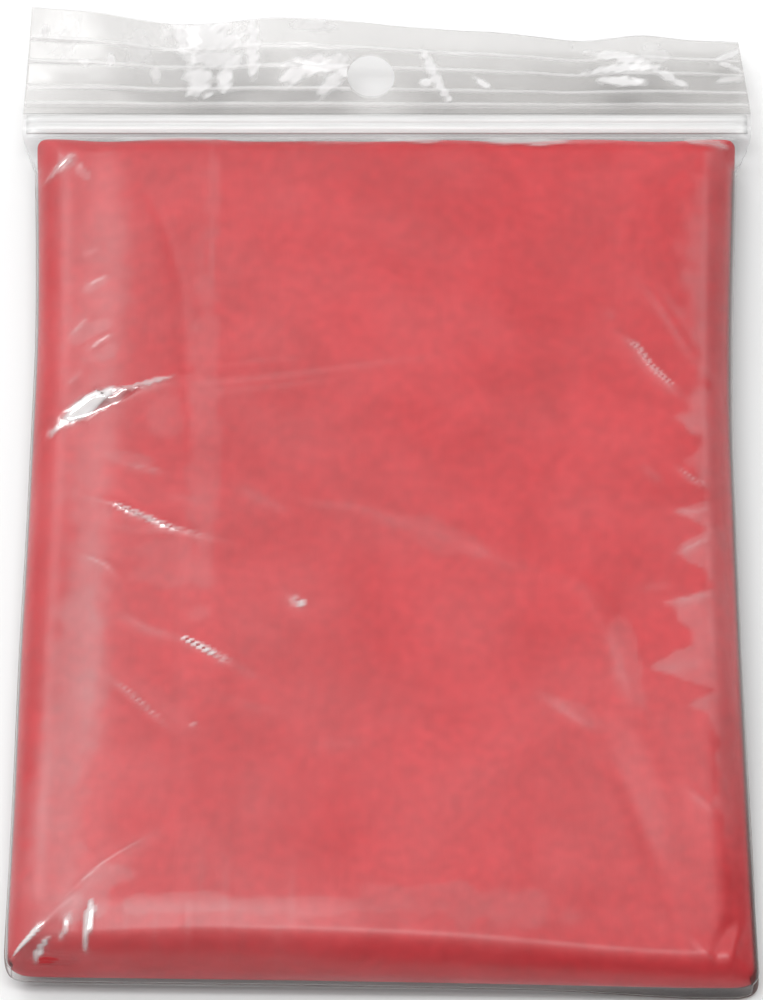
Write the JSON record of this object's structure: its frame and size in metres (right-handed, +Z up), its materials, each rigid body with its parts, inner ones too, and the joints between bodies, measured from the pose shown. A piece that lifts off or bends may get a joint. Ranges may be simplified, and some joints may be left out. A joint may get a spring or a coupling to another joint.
{
  "type": "folded rain poncho in its clear press-to-close bag",
  "caption": "Thin red rain poncho folded into a flat rounded packet, lying in a clear press-to-close bag whose ribbed header has a round hang hole.",
  "frame": {"origin": "on the surface it rests on, under the middle of the whole bag", "axes": "+Z up, +Y from the packet's lower end towards the bag's header, +X to the right as the packet is seen from above with the header away"},
  "size_m": [0.1182, 0.169, 0.0152],
  "materials": {
    "poncho_film": "thin red polythene film, soft sheen, slightly see-through",
    "poncho_folds": "stacked folded edges of the same red film",
    "bag_film": "clear glossy polythene with creases",
    "bag_header_film": "two plies of clear glossy polythene with fine ribs",
    "zip_plastic": "milky white press-to-close profile"
  },
  "bodies": {
    "root": {"outer_wrap": "poncho_film", "folded_layers": "poncho_folds", "bag_front": "bag_film", "bag_back": "bag_film", "bag_header": "bag_header_film", "zip_track_front": "zip_plastic", "zip_track_back": "zip_plastic"}
  },
  "joints": []
}
